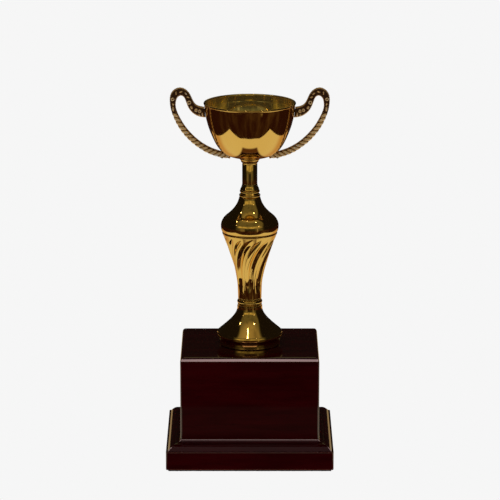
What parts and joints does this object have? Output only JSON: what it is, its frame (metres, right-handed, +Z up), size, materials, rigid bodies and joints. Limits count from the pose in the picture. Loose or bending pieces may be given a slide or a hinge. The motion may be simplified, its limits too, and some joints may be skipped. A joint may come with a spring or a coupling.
{
  "type": "cup trophy",
  "caption": "Two-handled gold cup with rolled rim on a twisted fluted stem, clamped by a tie rod to a tall gloss mahogany block with a moulded plinth.",
  "frame": {"origin": "middle of the underside of the felt pad, which is what the trophy stands on", "axes": "+Z up along the tie rod; +X through the handles, to the viewer's right; -Y is the front of the base"},
  "size_m": [0.1456, 0.129, 0.3272],
  "materials": {
    "block_wood": "dark red mahogany under thick high-gloss lacquer",
    "plinth_wood": "dark red mahogany under thick high-gloss lacquer",
    "felt": "black adhesive felt",
    "foot_gold": "spun brass, polished gold plate",
    "ring_gold": "turned brass, polished gold plate",
    "column_gold": "cast and fluted, polished gold plate",
    "knop_gold": "spun brass, polished gold plate",
    "neck_gold": "drawn tube, polished gold plate",
    "collar_gold": "turned brass, polished gold plate",
    "bowl_gold": "spun brass, polished gold plate inside and out",
    "handle_gold": "cast relief, antique gold with dark recesses",
    "rod_steel": "zinc-plated rolled thread",
    "nut_steel": "zinc-plated",
    "wood_screw_steel": "yellow zinc-plated",
    "screw_steel": "nickel-plated"
  },
  "bodies": {
    "base": {"base_block": "block_wood", "base_plinth": "plinth_wood", "felt_pad": "felt", "wood_screw_1": "wood_screw_steel", "wood_screw_2": "wood_screw_steel", "wood_screw_3": "wood_screw_steel", "wood_screw_4": "wood_screw_steel"},
    "figure": {"bell_foot": "foot_gold", "column_ring": "ring_gold", "fluted_column": "column_gold", "onion_knop": "knop_gold", "neck_tube": "neck_gold", "bowl_collar": "collar_gold", "tie_rod": "rod_steel", "base_nut": "nut_steel", "base_washer": "nut_steel", "bowl_nut": "nut_steel", "bowl_washer": "nut_steel"},
    "cup": {"bowl": "bowl_gold", "left_handle": "handle_gold", "right_handle": "handle_gold", "left_upper_screw": "screw_steel", "left_lower_screw": "screw_steel", "right_upper_screw": "screw_steel", "right_lower_screw": "screw_steel"}
  },
  "joints": [
    {"name": "figure_swivel", "type": "hinge", "parent": "base", "child": "figure", "pos_m": [0, 0, 0.0985], "axis": [0, 0, 1], "continuous": true},
    {"name": "cup_swivel", "type": "hinge", "parent": "figure", "child": "cup", "pos_m": [0, 0, 0.2655], "axis": [0, 0, 1], "continuous": true}
  ]
}
